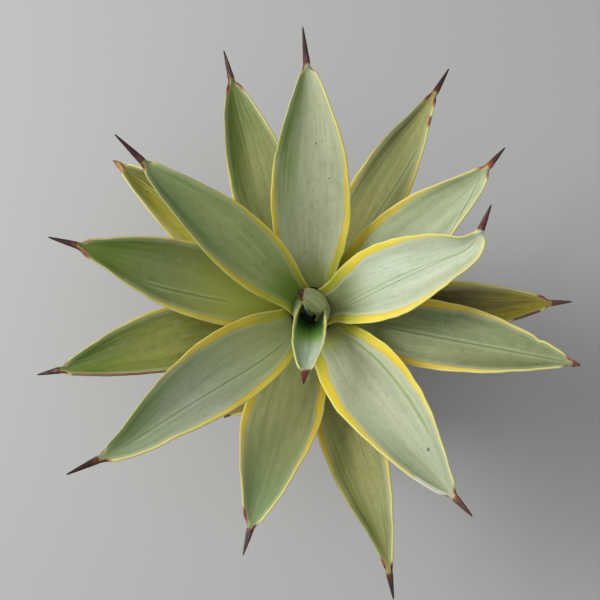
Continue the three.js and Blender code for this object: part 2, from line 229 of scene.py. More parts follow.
def linear(code):
    """The linear colour of an sRGB hex code, with alpha."""
    parts = [int(code[i:i + 2], 16) / 255 for i in (1, 3, 5)]
    return [p / 12.92 if p <= 0.04045 else ((p + 0.055) / 1.055) ** 2.4 for p in parts] + [1]


def waves(x, seed, cycles=(1.3, 2.9, 5.3), fade=0.6):
    """A smooth random line from -1 to 1 or so, the same for the same seed."""
    rng = np.random.default_rng(seed)
    line = np.zeros_like(x, float)
    for i, count in enumerate(cycles):
        line += fade ** i * np.sin(2 * np.pi * (count * x * rng.uniform(0.8, 1.2) + rng.random()))
    return line / 1.8


def mesh_object(name, points, faces, body=BODY):
    mesh = bpy.data.meshes.new(name)
    mesh.from_pydata((np.asarray(points) * MM).tolist(), [], faces)
    mesh.polygons.foreach_set("use_smooth", [True] * len(mesh.polygons))
    mesh.update()
    piece = bpy.data.objects.new(name, mesh)
    bpy.context.scene.collection.objects.link(piece)
    if body:
        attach(piece, body)
    return piece


def points_of(piece):
    """The piece's points, in mm."""
    flat = np.zeros(len(piece.data.vertices) * 3)
    piece.data.vertices.foreach_get("co", flat)
    return flat.reshape(-1, 3) / MM


def move_points(piece, points):
    piece.data.vertices.foreach_set("co", (points * MM).ravel())
    piece.data.update()


def add_attribute(piece, name, values, kind="FLOAT_VECTOR"):
    attribute = piece.data.attributes.new(name, kind, "POINT")
    field = "vector" if kind == "FLOAT_VECTOR" else "value"
    attribute.data.foreach_set(field, np.asarray(values, np.float32).ravel())


def grid_faces(rows, columns):
    """Quads between rings of points, each ring a row."""
    faces = []
    for a in range(0, (rows - 1) * columns, columns):
        for j in range(columns):
            k = (j + 1) % columns
            faces.append([a + j, a + k, a + columns + k, a + columns + j])
    return faces


def cap_faces(rows, columns):
    """Triangles from both end rings to their middles, which are the two points after the last ring."""
    low, high, base = rows * columns, rows * columns + 1, (rows - 1) * columns
    faces = []
    for j in range(columns):
        k = (j + 1) % columns
        faces += [[low, k, j], [high, base + j, base + k]]
    return faces


def turned(name, outline, sides):
    """A closed surface turned round the Z axis from [radius, z] points that run up its outside."""
    angles = np.arange(sides) * 2 * np.pi / sides
    points = [[r * math.cos(a), r * math.sin(a), z] for r, z in outline[1:-1] for a in angles]
    rows = len(outline) - 2
    points += [[0, 0, outline[0][1]], [0, 0, outline[-1][1]]]
    return mesh_object(name, points, grid_faces(rows, sides) + cap_faces(rows, sides))


def rounded(outline, radii):
    """The outline with each inner corner rounded off by its radius."""
    points = [outline[0]]
    for before, corner, after, radius in zip(outline, outline[1:], outline[2:], radii):
        a, c, b = (np.array(p, float) for p in (before, corner, after))
        start = c + (a - c) / np.linalg.norm(a - c) * radius
        end = c + (b - c) / np.linalg.norm(b - c) * radius
        for t in np.linspace(0, 1, CORNER_POINTS):
            points.append(list((1 - t) ** 2 * start + 2 * t * (1 - t) * c + t ** 2 * end))
    points.append(outline[-1])
    return points


def spaced(outline, step):
    """The outline with points added so that none is further than step from the next."""
    points = [outline[0]]
    for a, b in zip(outline, outline[1:]):
        count = max(1, math.ceil(math.dist(a, b) / step))
        points += [[lerp(a[0], b[0], i / count), lerp(a[1], b[1], i / count)] for i in range(1, count + 1)]
    return points


class Paint:
    """Builds the nodes of one material with short calls."""

    def __init__(self, name):
        self.material = bpy.data.materials.new(name)
        self.material.use_nodes = True
        self.nodes = self.material.node_tree.nodes
        self.links = self.material.node_tree.links
        self.shader = self.nodes["Principled BSDF"]

    def put(self, value, socket):
        if isinstance(value, bpy.types.NodeSocket):
            self.links.new(value, socket)
        else:
            socket.default_value = value

    def math(self, operation, *values):
        node = self.nodes.new("ShaderNodeMath")
        node.operation = operation
        for value, socket in zip(values, node.inputs):
            self.put(value, socket)
        return node.outputs[0]

    def add(self, *values):
        total = values[0]
        for value in values[1:]:
            total = self.math("ADD", total, value)
        return total

    def times(self, *values):
        product = values[0]
        for value in values[1:]:
            product = self.math("MULTIPLY", product, value)
        return product

    def ramp(self, value, low, high, first=0.0, last=1.0, kind="SMOOTHSTEP"):
        node = self.nodes.new("ShaderNodeMapRange")
        node.interpolation_type = kind
        for part, socket in zip((value, low, high, first, last), node.inputs):
            self.put(part, socket)
        return node.outputs[0]

    def mix(self, amount, a, b):
        node = self.nodes.new("ShaderNodeMix")
        node.data_type = "RGBA"
        self.put(amount, node.inputs[0])
        self.put(a, node.inputs[6])
        self.put(b, node.inputs[7])
        return node.outputs[2]

    def tint(self, colour, amount, code):
        """The colour with an amount of a hex code's over it."""
        return self.mix(amount, colour, linear(code))

    def attribute(self, name):
        node = self.nodes.new("ShaderNodeAttribute")
        node.attribute_name = name
        return node

    def split(self, vector):
        node = self.nodes.new("ShaderNodeSeparateXYZ")
        self.put(vector, node.inputs[0])
        return node.outputs

    def joined(self, x, y, z):
        node = self.nodes.new("ShaderNodeCombineXYZ")
        for value, socket in zip((x, y, z), node.inputs):
            self.put(value, socket)
        return node.outputs[0]

    def noise(self, vector, scale=1.0, detail=2.0, roughness=0.5):
        node = self.nodes.new("ShaderNodeTexNoise")
        self.put(vector, node.inputs["Vector"])
        node.inputs["Scale"].default_value = scale
        node.inputs["Detail"].default_value = detail
        node.inputs["Roughness"].default_value = roughness
        return node.outputs[0]

    def cells(self, vector, scale):
        node = self.nodes.new("ShaderNodeTexVoronoi")
        self.put(vector, node.inputs["Vector"])
        node.inputs["Scale"].default_value = scale
        return node.outputs["Distance"]

    def place(self):
        node = self.nodes.new("ShaderNodeNewGeometry")
        return node.outputs["Position"]

    def bump(self, height, strength, distance):
        node = self.nodes.new("ShaderNodeBump")
        node.inputs["Strength"].default_value = strength
        node.inputs["Distance"].default_value = distance
        self.put(height, node.inputs["Height"])
        return node.outputs[0]


# The shape of a leaf

def foot_radius(age):
    return DOME_TOP_RADIUS + DOME_SPREAD * math.sqrt(age)


def foot_height(age):
    return YOUNGEST_FOOT_Z - HEIGHT_PER_LEAF * age


class Leaf:
    """A leaf's shape from its row and its age, with the formulas of the part's source."""

    def __init__(self, row, age):
        self.row = {"fold": YOUNGEST_FOLD - FOLD_PER_LEAF * age, **USUAL_LEAF, **row}
        self.age = age
        self.length = row["length"]
        self.foot_climb = YOUNGEST_CLIMB - CLIMB_PER_LEAF * age + self.row["lift"]
        self.tip_climb = self.foot_climb - CLIMB_LOST + self.row["arch"]
        azimuth = math.radians(row["azimuth"])
        radius = foot_radius(age)
        foot = np.array([radius * math.cos(azimuth), radius * math.sin(azimuth), foot_height(age)])
        halfway = (np.arange(LINE_STEPS) + 0.5) / LINE_STEPS
        along = self.directions(halfway)[0]
        self.line = np.vstack([foot, foot + np.cumsum(along, 0) * self.length / LINE_STEPS])

    def directions(self, share):
        """Along the blade, out of its upper face and across it, for an array of shares of its length."""
        s = np.clip(share, 0, 1)
        row = self.row
        climb = lerp(self.tip_climb, self.foot_climb, (1 - s) ** CLIMB_POWER)
        climb = np.radians(climb + row["curl"] * smooth(s, CURL_STARTS_AT, 1))
        heading = np.radians(row["azimuth"] + row["swing"] * s + row["hook"] * smooth(s, HOOK_STARTS_AT, 1))
        ahead = np.stack([np.cos(heading), np.sin(heading), np.zeros_like(s)], -1)
        up = np.array([0, 0, 1.0])
        sine, cosine = np.sin(climb)[..., None], np.cos(climb)[..., None]
        along = ahead * cosine + up * sine
        out = -ahead * sine + up * cosine
        return along, out, np.cross(along, out)

    def middle(self, share):
        shares = np.linspace(0, 1, LINE_STEPS + 1)
        s = np.clip(share, 0, 1)
        point = np.stack([np.interp(s, shares, self.line[:, k]) for k in range(3)], -1)
        return point + self.directions(share)[0] * ((share - s) * self.length)[..., None]

    def half_width(self, share):
        s = np.maximum(share, 0)
        row = self.row
        inner = lerp(row["neck"], 1, np.sin(np.pi / 2 * np.minimum(s / WIDEST_AT, 1)))
        inner = inner + FLARE * np.maximum(0, 1 - s / FLARE) ** 2
        outer = np.maximum(0, 1 - ((s - WIDEST_AT) / (1 - WIDEST_AT)) ** 2) ** row["point"]
        profile = np.where(s < WIDEST_AT, inner, outer)
        return np.hypot(row["width"] / 2 * profile, SHOULDER_HALF_WIDTH * smooth(s, POINT_STARTS_AT, 1))

    def channel(self, share):
        row = self.row
        fold = math.radians(row["fold"])
        if row["wrap"]:
            wrap = math.radians(row["wrap"])
        else:
            wrap = self.half_width(np.zeros(1))[0] / foot_radius(self.age)
        near = lerp(wrap, fold, smooth(share, 0, WIDEST_AT))
        far = lerp(fold, math.radians(row["tip_fold"]), smooth(share, WIDEST_AT, 1))
        return np.where(share < WIDEST_AT, near, far)

    def thickness(self, share):
        fleshy = lerp(FOOT_THICKNESS, MIDDLE_THICKNESS, smooth(share, 0, THICK_UNTIL))
        thinning = (MIDDLE_THICKNESS - END_THICKNESS) * smooth(share, THICK_UNTIL, 1)
        return self.row["flesh"] * (fleshy - thinning)


# How finely a leaf is divided, with its sections a little closer together near both ends
UPPER_COLUMNS = 57
LOWER_COLUMNS = 29
EDGE_POINTS = 3
BLADE_RINGS = 132
RING_CROWDING = 0.21
SPINE_RINGS = 20
FOOT_DEPTH = 4

# Low relief of the leaves: depths and widths in mm, the margin's as shares of the leaf's width
RIB_HEIGHT = 0.11
RIB_CYCLES = (1.1, 2.7, 4.9)
RIB_FADE = 0.7
RIB_DRIFT = 0.25
GROOVE_DEPTH = 0.14
GROOVE_WIDTH = 0.55
MARGIN_WAVE = 0.01
MARGIN_WOBBLE = 0.007
RELIEF_ENDS = 0.85
SPINE_GROOVE = 0.3
SPINE_GROOVE_ANGLE = 0.4
SPINE_BUMPS = 0.05

# Where the draws of a leaf's relief and of its spine start
RELIEF_SEED_STEP = 40
SPINE_SEED = 900


def crease_line(points):
    """A crease's place across the leaf as a curve of the share (bend, slope, constant), and its two ends."""
    shares, across = np.array(points).T
    return [float(part) for part in np.polyfit(shares, across, 2)], float(shares[0]), float(shares[-1])


def ring_layout():
    """Across, angle of the rounded margin, and face (1 upper, -1 lower) of each point round a section."""
    upper = np.sin(np.pi / 2 * np.linspace(-1, 1, UPPER_COLUMNS))
    lower = np.sin(np.pi / 2 * np.linspace(1, -1, LOWER_COLUMNS))
    turn = np.pi * (np.arange(EDGE_POINTS) + 1) / (EDGE_POINTS + 1)
    across = np.concatenate([upper, np.ones(EDGE_POINTS), lower, -np.ones(EDGE_POINTS)])
    angle = np.concatenate([np.zeros(UPPER_COLUMNS), turn, np.full(LOWER_COLUMNS, np.pi), np.pi - turn])
    return across, angle, np.cos(angle)


def side_waves(across, share, seed, right_cycles, left_cycles):
    """A wavy line along each margin."""
    return np.where(across > 0, waves(share, seed, right_cycles), waves(share, seed + 1, left_cycles))


def face_relief(leaf, look, s, u, half):
    """Broad ribs and the creases of the upper face, in mm."""
    seed = RELIEF_SEED_STEP * leaf.age
    ribs = waves(u * 1.1 + RIB_DRIFT * waves(s, seed + 3, (0.6, 1.1)), seed + 4, RIB_CYCLES, RIB_FADE)
    relief = RIB_HEIGHT * ribs * ((1 - u * u) * smooth(s, 0.03, 0.2) * (1 - smooth(s, RELIEF_ENDS, 1)))
    for points in look["creases"]:
        line, first, last = crease_line(points)
        away = np.abs(u - np.polyval(line, s)) * half
        shown = smooth(s, first - 0.03, first + 0.05) * (1 - smooth(s, last - 0.05, last + 0.03))
        relief = relief - GROOVE_DEPTH * np.exp(-(away / GROOVE_WIDTH) ** 2) * shown
    return relief


def blade_points(leaf, look, shares):
    """Points of the blade's sections, how far each lies from the margin, and the half widths, in mm."""
    across, turn, face = ring_layout()
    _, out, over = (d[:, None, :] for d in leaf.directions(shares))
    s = shares[:, None]
    u = across[None, :]
    seed = RELIEF_SEED_STEP * leaf.age
    width = leaf.row["width"]
    edge_half = MARGIN_THICKNESS * min(1, leaf.row["flesh"] + 0.2) / 2
    half = leaf.half_width(s)
    room = np.minimum(1, half / (3 * edge_half))
    wobble = 1 + MARGIN_WOBBLE * width / half * side_waves(u, s, seed + 1, (3, 7, 13), (3, 7, 13))
    for side, at, depth, long in look["nicks"]:
        bite = np.exp(-(((s - at) * leaf.length) / long) ** 2) * depth / half
        wobble = wobble - bite * (u * side > 0)
    arc = half * wobble - edge_half * room
    angle = leaf.channel(s)
    radius = arc / angle
    theta = angle * u
    thick = leaf.thickness(s)
    depth = lerp(2 * edge_half, np.maximum(thick, 2 * edge_half), (1 - u * u) ** THINNING_POWER) / 2
    normal = out * np.cos(theta)[..., None] - over * np.sin(theta)[..., None]
    tangent = over * np.cos(theta)[..., None] + out * np.sin(theta)[..., None]
    lift = side_waves(u, s, seed + 5, (2.1, 4.7, 9), (2.3, 4.3, 8)) * smooth(s, 0.1, 0.3)
    lift = MARGIN_WAVE * width * np.abs(u) ** 5 * lift * (1 - smooth(s, RELIEF_ENDS, 1))
    on_top = np.where(face > 0, 1, 0) * (turn == 0)
    height = depth * face + face_relief(leaf, look, s, u, half) * on_top + lift
    points = leaf.middle(shares)[:, None, :] + over * (radius * np.sin(theta))[..., None]
    points = points + out * (radius * (1 - np.cos(theta)))[..., None] + normal * height[..., None]
    points = points + tangent * (np.sign(u) * edge_half * room * np.sin(turn))[..., None]
    edge = (1 - np.abs(u)) * half + 0 * s
    return points, edge, half


def spine_points(leaf, round_at):
    """Sections of the spine, with a shallow groove along its upper side, and how far along it they lie."""
    q = np.linspace(0, 1, SPINE_RINGS + 1)[1:]
    radius = lerp(SPINE_TIP_RADIUS, SPINE_RADIUS, (1 - q) ** SPINE_TAPER_POWER)
    bump = 1 + SPINE_BUMPS * waves(q, SPINE_SEED + leaf.age, (2, 5)) * (1 - q)
    along, out, over = (d[0] for d in leaf.directions(np.ones(1)))
    centre = leaf.middle(np.ones(1))[0] + along * (q * leaf.row["spine"])[:, None]
    dip = np.exp(-((round_at - np.pi / 2) / SPINE_GROOVE_ANGLE) ** 2)[None, :]
    groove = SPINE_GROOVE * dip * ((1 - q) * smooth(q, 0, 0.15))[:, None]
    size = ((radius * bump)[:, None] - groove)[..., None]
    ring = over * np.cos(round_at)[None, :, None] + out * np.sin(round_at)[None, :, None]
    return centre[:, None, :] + size * ring, q


def leaf_mesh(name, leaf, look):
    """The blade and the spine as one closed mesh, with the leaf's own coordinates on its points."""
    across, _, face = ring_layout()
    count = len(across)
    t = np.linspace(0, 1, BLADE_RINGS)
    first = -FOOT_DEPTH / leaf.length
    shares = first + (1 - first) * (t - RING_CROWDING * np.sin(2 * np.pi * t) / (2 * np.pi))
    points, edge, half = blade_points(leaf, look, shares)
    # The blade's end turns into the round foot of the spine
    _, out, over = (d[:, None, :] for d in leaf.directions(shares))
    round_at = np.pi - 2 * np.pi * (np.arange(count) + 0.5) / count
    circle = over * np.cos(round_at)[None, :, None] + out * np.sin(round_at)[None, :, None]
    circle = leaf.middle(shares)[:, None, :] + SPINE_RADIUS * circle
    blend = smooth(shares, SPINE_STARTS_AT, 1)[:, None, None]
    spine, q = spine_points(leaf, round_at)
    rings = np.concatenate([points * (1 - blend) + circle * blend, spine])
    total = len(rings)
    tip = rings[-1].mean(0) + leaf.directions(np.ones(1))[0][0] * SPINE_TIP_RADIUS
    faces = [f[::-1] for f in grid_faces(total, count) + cap_faces(total, count)]
    piece = mesh_object(name, np.vstack([rings.reshape(-1, 3), rings[0].mean(0), tip]), faces)
    # The leaf's own coordinates, also for the middle points of both ends
    share_all = np.concatenate([shares, 1 + q * leaf.row["spine"] / leaf.length])
    grid = np.ones((total, count))
    place = np.stack([grid * across, grid * share_all[:, None], grid * face], -1).reshape(-1, 3)
    add_attribute(piece, "place", np.vstack([place, [0, first, 0], [0, share_all[-1], 0]]))
    edge_all = np.vstack([edge, np.zeros((SPINE_RINGS, count))])
    half_all = np.vstack([half + 0 * edge, np.full((SPINE_RINGS, count), SPINE_RADIUS)])
    to_tip = grid * (1 - share_all[:, None]) * leaf.length
    sizes = np.stack([edge_all, to_tip, half_all], -1).reshape(-1, 3)
    ends = [[0, leaf.length, half[0, 0]], [0, -leaf.row["spine"], SPINE_RADIUS]]
    add_attribute(piece, "sizes", np.vstack([sizes, ends]))
    return piece


# The finish of a leaf. A ramp of four numbers goes from the third, where the value is the first, to the
# fourth, where the value is the second. One of two numbers goes from 0 to 1.

# Patterns of the skin: scales across and along the blade, shift of the seed, detail and roughness
PATTERNS = {
    "wander": (1.5, 5, 0, 2, 0.5),
    "broad": (4.2, 1.6, 0, 2, 0.6),
    "streaks": (15, 3.2, 1, 3, 0.6),
    "fine": (46, 6, 2, 2, 0.6),
    "patches": (2.2, 6, 3, 3, 0.6),
    "slow": (9, 7, 4, 2, 0.5),
    "grain": (90, 300, 0, 2, 0.5),
}
SKIN_SEED_STEP = 7.3
STREAK_WANDER = 0.16
SIDE_BLEND = 0.02

# The flesh: how much the broad, streaked, fine and patchy patterns count in its tone, and the bloom on it
TONE_WEIGHTS = (0.9, 0.45, 0.3, 0.6)
TONE_RANGE = (0.7, 1.55)
BLOOM_NOISE = (0.45, 5, 0.7)
BLOOM_STRETCH = 0.6
BLOOM_STRENGTH = 0.2
RUBBED_STRENGTH = 0.25
SIDE_GREEN = (-0.1, 0.95)
TIP_GREEN = (0.5, 1.0)

# Creases: how far they fade out and in at an end, as shares, and the fades beside their line, in mm
CREASE_OUT = 0.03
CREASE_IN = 0.06
CREASE_DENT = (0.1, 0.5)
CREASE_STRENGTH = 0.8
SHOULDER_STRENGTH = 0.25
SHOULDER_RISE = 0.5
SHOULDER_END = 1.7

# The margin: its width along the blade, and the fades of its inner side and of its rim, in mm
NARROWING = (0.14, 0.86, 1.2, 0.15)
NARROW_FOOT = (0.0, 0.18, 0.6, 1.0)
LOST_FROM = (0.35, 0.8)
LEAST_WIDTH = 0.35
UNEVENNESS = 0.5
INNER_SIDE = (-0.8, 0.9, 1.0, 0.0)
SOFTNESS = (0.1, 0.8, 1.0, 0.3)
RIM_WIDTH = (0.1, 0.5, 1.0, 0.0)

# Marks: how far a spot's, a dry patch's and the brown end's outlines stray, in mm, and how strong a spot is
SPOT_STRAY = 0.4
SPOT_STRENGTH = 0.85
DRY_STRAY = (1.6, 0.8)
DRY_EDGE_WIDTH = (0.1, 0.6)
END_STRAY = 2.2
SCAR_WIDTH = (0.35, 1.1, 1.0, 0.0)
SCALD_WIDTH = (1.0, 1.8, 1.0, 0.0)
COLLAR_LENGTH = (0.2, 1.1, 1.0, 0.0)
SPINE_STREAKS = 0.25

# Gloss and relief
BLOOMED_ROUGHNESS = 0.52
GREEN_ROUGHNESS = 0.4
SPINE_GLOSS = 0.12
ROUGHNESS_STRAY = 0.16
STREAK_RELIEF = 0.6
FINE_RELIEF = 0.5
GRAIN_RELIEF = 0.12
SKIN_BUMP = 0.35
SKIN_BUMP_DEPTH = 0.35 * MM

# Colours that the leaves share
WAX = "#c4cfc4"
OLD_BROWN = "#8a6f38"
CREASE_SHOULDER = "#c3d2a0"
INNER_GOLD = "#c69c2a"
FOOT_GOLD = "#9aa534"
PALE_GOLD = "#e0d372"
RUSTY_GOLD = "#c99a3a"
SEAM = "#cdd2ac"
RIM = "#ddd77e"
UNDER_WAX = "#b9c4ad"
UNDER_FOOT = "#c2c48a"
SPOT = "#3a3d26"
DRY_BROWN = "#4a2a1e"
SCALD = "#b5793f"
SPINE_TIP = "#0e090a"
SPINE_STREAK = "#8a5a48"


class LeafSkin(Paint):
    """The material of one leaf, in the leaf's own coordinates, which its mesh carries."""

    def __init__(self, name, leaf, look):
        super().__init__(name)
        self.leaf = leaf
        self.look = look
        self.seed = SKIN_SEED_STEP * leaf.age
        self.across, self.share, self.face = self.split(self.attribute("place").outputs["Vector"])
        self.edge, self.to_tip, self.half = self.split(self.attribute("sizes").outputs["Vector"])
        self.is_right = self.ramp(self.across, -SIDE_BLEND, SIDE_BLEND, 0.0, 1.0, "LINEAR")
        bent = self.add(self.across, self.stray(self.pattern("wander", self.across), STREAK_WANDER))
        self.broad = self.pattern("broad", bent)
        self.streaks = self.pattern("streaks", bent)
        self.fine = self.pattern("fine", bent)
        self.patches = self.pattern("patches", self.across)
        self.slow = self.pattern("slow", self.is_right)

    def pattern(self, name, across):
        across_scale, along_scale, shift, detail, roughness = PATTERNS[name]
        along = self.times(self.share, along_scale)
        point = self.joined(self.times(across, across_scale), along, self.seed + shift)
        return self.noise(point, 1, detail, roughness)

    def stray(self, pattern, size):
        """The pattern as a shift to either side of 0."""
        return self.times(self.math("SUBTRACT", pattern, 0.5), size)

    def by_side(self, left, right):
        return self.ramp(self.is_right, 0.0, 1.0, float(left), float(right), "LINEAR")

    def flesh(self):
        """The upper face: streaks under a waxy bloom."""
        look = self.look
        patterns = (self.broad, self.streaks, self.fine, self.patches)
        tone = self.add(*(self.times(part, weight) for part, weight in zip(patterns, TONE_WEIGHTS)))
        flesh = self.mix(self.ramp(tone, *TONE_RANGE), linear(look["deep"]), linear(look["pale"]))
        on_face = self.joined(self.times(self.across, self.half), self.times(self.to_tip, BLOOM_STRETCH),
                              self.seed)
        bloom = self.noise(on_face, *BLOOM_NOISE)
        flesh = self.tint(flesh, self.ramp(bloom, 0.48, 0.8, 0.0, BLOOM_STRENGTH * look["bloom"]), WAX)
        flesh = self.tint(flesh, self.ramp(bloom, 0.5, 0.3, 0.0, RUBBED_STRENGTH), look["vivid"])
        if look["brown_streaks"]:
            brown = self.times(self.ramp(self.streaks, 0.52, 0.68), self.ramp(self.broad, 0.42, 0.6),
                               look["brown_streaks"])
            flesh = self.tint(flesh, brown, OLD_BROWN)
        return flesh

    def bare_green(self):
        """How far the green shows where the bloom is thin, along a side and at the tip."""
        look = self.look
        left_side = self.times(self.ramp(self.times(self.across, -1), *SIDE_GREEN), look["left_green"])
        right_side = self.times(self.ramp(self.across, *SIDE_GREEN), look["right_green"])
        near_tip = self.times(self.ramp(self.share, *TIP_GREEN), look["tip_green"])
        sides = self.times(self.ramp(self.share, 0.2, 0.6), self.add(left_side, right_side))
        ragged = self.ramp(self.add(self.streaks, self.times(self.patches, 0.7)), 0.55, 1.05, 0.45, 1.25)
        return self.math("MINIMUM", self.times(self.add(sides, near_tip), ragged), 1.0)

    def foot(self, flesh):
        """The flesh with the colour of its foot, behind a band of green. On the youngest leaves that colour
        is painted shade, and on two outer ones it holds painted light.
        """
        look = self.look
        reach = look["foot_share"]
        fresh = self.ramp(self.share, reach * 0.7, reach * 1.25, look["foot_green"], 0.0)
        deep = self.ramp(self.share, reach * 0.35, reach, look["foot_depth"], 0.0)
        return self.tint(self.tint(flesh, fresh, look["vivid"]), deep, look["foot"])

    def creased(self, flesh):
        """The flesh with its creases drawn in, and their depth, or None where it has none."""
        wide = self.look["crease_width"]
        share, dents = self.share, None
        for points in self.look["creases"]:
            line, first, last = crease_line(points)
            path = self.add(self.times(self.add(self.times(share, line[0]), line[1]), share), line[2])
            away = self.times(self.math("ABSOLUTE", self.math("SUBTRACT", self.across, path)), self.half)
            shown = self.times(self.ramp(share, first - CREASE_OUT, first + CREASE_IN),
                               self.ramp(share, last - CREASE_IN, last + CREASE_OUT, 1.0, 0.0),
                               self.ramp(self.fine, 0.25, 0.5, 0.55, 1.0))
            dent = self.times(self.ramp(away, *CREASE_DENT, 1.0, 0.0), shown)
            drawn = self.times(self.ramp(away, 0.0, wide, CREASE_STRENGTH, 0.0), shown)
            flesh = self.tint(flesh, drawn, self.look["crease_colour"])
            side = self.times(self.ramp(away, wide, wide + SHOULDER_RISE),
                              self.ramp(away, wide + SHOULDER_RISE, wide + SHOULDER_END, 1.0, 0.0),
                              shown, SHOULDER_STRENGTH)
            flesh = self.tint(flesh, side, CREASE_SHOULDER)
            dents = dent if dents is None else self.math("MAXIMUM", dents, dent)
        return flesh, dents

    def measure_margin(self):
        """How much of the margin is left, and how far inside its uneven inner side a point lies, in mm."""
        look, share = self.look, self.share
        width = self.times(self.by_side(look["left"], look["right"]), self.ramp(share, *NARROWING, "LINEAR"),
                           self.ramp(share, *NARROW_FOOT))
        lost = self.by_side(look["left_fade"], look["right_fade"])
        self.kept = self.math("SUBTRACT", 1.0, self.times(lost, self.ramp(share, *LOST_FROM)))
        width = self.times(width, self.ramp(self.kept, 0.0, 1.0, LEAST_WIDTH, 1.0, "LINEAR"))
        uneven = self.add(self.stray(self.slow, 1.3), self.stray(self.streaks, 1.3),
                          self.stray(self.fine, 0.7))
        width = self.times(width, self.add(1.0, self.times(uneven, UNEVENNESS)))
        self.inside = self.math("SUBTRACT", self.edge, width)

    def gold(self):
        """The margin's colour, cream towards the tip and greenish at the foot."""
        look, share = self.look, self.share
        gold = self.mix(self.ramp(share, 0.45, 0.95), linear(look["gold"]), linear(look["cream"]))
        inner = self.times(self.ramp(self.inside, -1.6, -0.1), self.ramp(share, 0.3, 0.7, 0.45, 0.1))
        gold = self.tint(gold, inner, INNER_GOLD)
        gold = self.tint(gold, self.ramp(share, 0.12, 0.34, 0.85, 0.0), FOOT_GOLD)
        gold = self.tint(gold, self.times(self.ramp(self.streaks, 0.45, 0.7), 0.35), PALE_GOLD)
        rusty = self.times(self.ramp(self.slow, 0.5, 0.75), self.ramp(self.fine, 0.4, 0.7), 0.3)
        return self.tint(gold, rusty, RUSTY_GOLD)

    def upper(self, flesh, gold):
        """The upper face with its margin and the paler seam inside that."""
        margin = self.ramp(self.math("DIVIDE", self.inside, self.ramp(self.share, *SOFTNESS)), *INNER_SIDE)
        margin = self.times(margin, self.ramp(self.kept, 0.0, 0.7, 0.25, 1.0))
        seam = self.times(self.ramp(self.inside, -0.2, 0.5), self.ramp(self.inside, 0.5, 2.2, 1.0, 0.0),
                          self.look["seam"])
        return self.mix(margin, self.tint(flesh, seam, SEAM), gold)

    def under(self, gold):
        """The plainer underside."""
        look = self.look
        tone = self.ramp(self.add(self.streaks, self.times(self.broad, 0.6)), 0.6, 1.0)
        under = self.tint(self.mix(tone, linear(look["deep"]), linear(look["pale"])), 0.25, UNDER_WAX)
        under = self.tint(under, self.ramp(self.share, 0.0, 0.2, 0.8, 0.0), UNDER_FOOT)
        return self.mix(self.ramp(self.inside, -1.2, 0.2, 1.0, 0.0), under, gold)

    def rimmed(self, colour):
        """The pale rim of the margin."""
        rim = self.times(self.ramp(self.edge, *RIM_WIDTH), self.ramp(self.slow, 0.35, 0.6, 0.35, 0.75),
                         self.ramp(self.kept, 0.0, 0.6, 0.25, 1.0))
        return self.tint(colour, rim, RIM)

    def spotted(self, colour):
        for at, over, size in self.look["spots"]:
            here = float(self.leaf.half_width(np.array([at]))[0])
            dx = self.times(self.math("SUBTRACT", self.across, over), here)
            dy = self.times(self.math("SUBTRACT", self.share, at), float(self.leaf.length))
            away = self.math("SQRT", self.add(self.times(dx, dx), self.times(dy, dy)))
            away = self.add(away, self.stray(self.patches, SPOT_STRAY))
            on_top = self.ramp(self.face, 0.2, 0.5)
            spot = self.times(self.ramp(away, size * 0.6, size, SPOT_STRENGTH, 0.0), on_top)
            colour = self.tint(colour, spot, SPOT)
        return colour

    def dried(self, colour):
        """Dry patches by the margin, darker at their outer edge."""
        look, share = self.look, self.share
        for side, first, last, wide in look["dry"]:
            stretch = self.times(self.ramp(share, first - 0.015, first + 0.01),
                                 self.ramp(share, last - 0.005, last + 0.01, 1.0, 0.0))
            ragged = self.add(self.edge, self.stray(self.patches, DRY_STRAY[0]),
                              self.stray(self.fine, DRY_STRAY[1]))
            strip = self.ramp(ragged, wide * 0.8, wide * 1.2, 1.0, 0.0)
            this_side = self.is_right if side > 0 else self.math("SUBTRACT", 1.0, self.is_right)
            husk = self.mix(self.ramp(self.streaks, 0.3, 0.55), linear(look["dry_stain"]),
                            linear(look["dry_colour"]))
            husk = self.tint(husk, self.ramp(self.edge, *DRY_EDGE_WIDTH, look["dry_edge"], 0.0), DRY_BROWN)
            colour = self.mix(self.times(stretch, strip, this_side), colour, husk)
        return colour

    def ended(self, colour):
        """The brown end, which runs back along the margins, and how brown it is there."""
        look, scar, spine = self.look, self.look["scar"], self.leaf.row["spine"]
        ragged = self.add(self.to_tip, self.stray(self.streaks, END_STRAY))
        run_back = self.times(self.ramp(self.edge, *SCAR_WIDTH),
                              self.ramp(ragged, scar * 0.55, float(scar), 1.0, 0.0))
        brown = self.math("MAXIMUM", run_back, self.ramp(ragged, *COLLAR_LENGTH))
        scald = self.times(self.ramp(self.edge, *SCALD_WIDTH),
                           self.ramp(ragged, scar * 0.7, scar * 1.2, 0.6, 0.0))
        # The spine is darker towards its tip
        near_root = self.ramp(self.to_tip, -spine * 0.35, 0.5)
        horn = self.mix(near_root, linear(look["spine"]), linear(look["root"]))
        horn = self.tint(horn, self.ramp(self.to_tip, -float(spine), -spine * 0.5, 0.75, 0.0), SPINE_TIP)
        horn = self.tint(horn, self.times(self.ramp(self.fine, 0.4, 0.7), SPINE_STREAKS), SPINE_STREAK)
        return self.mix(brown, self.tint(colour, scald, SCALD), horn), brown

    def relief(self, dents):
        height = self.add(self.times(self.streaks, STREAK_RELIEF), self.times(self.fine, FINE_RELIEF))
        if dents is not None:
            height = self.math("SUBTRACT", height, dents)
        height = self.add(height, self.times(self.pattern("grain", self.across), GRAIN_RELIEF))
        return self.bump(height, SKIN_BUMP, SKIN_BUMP_DEPTH)


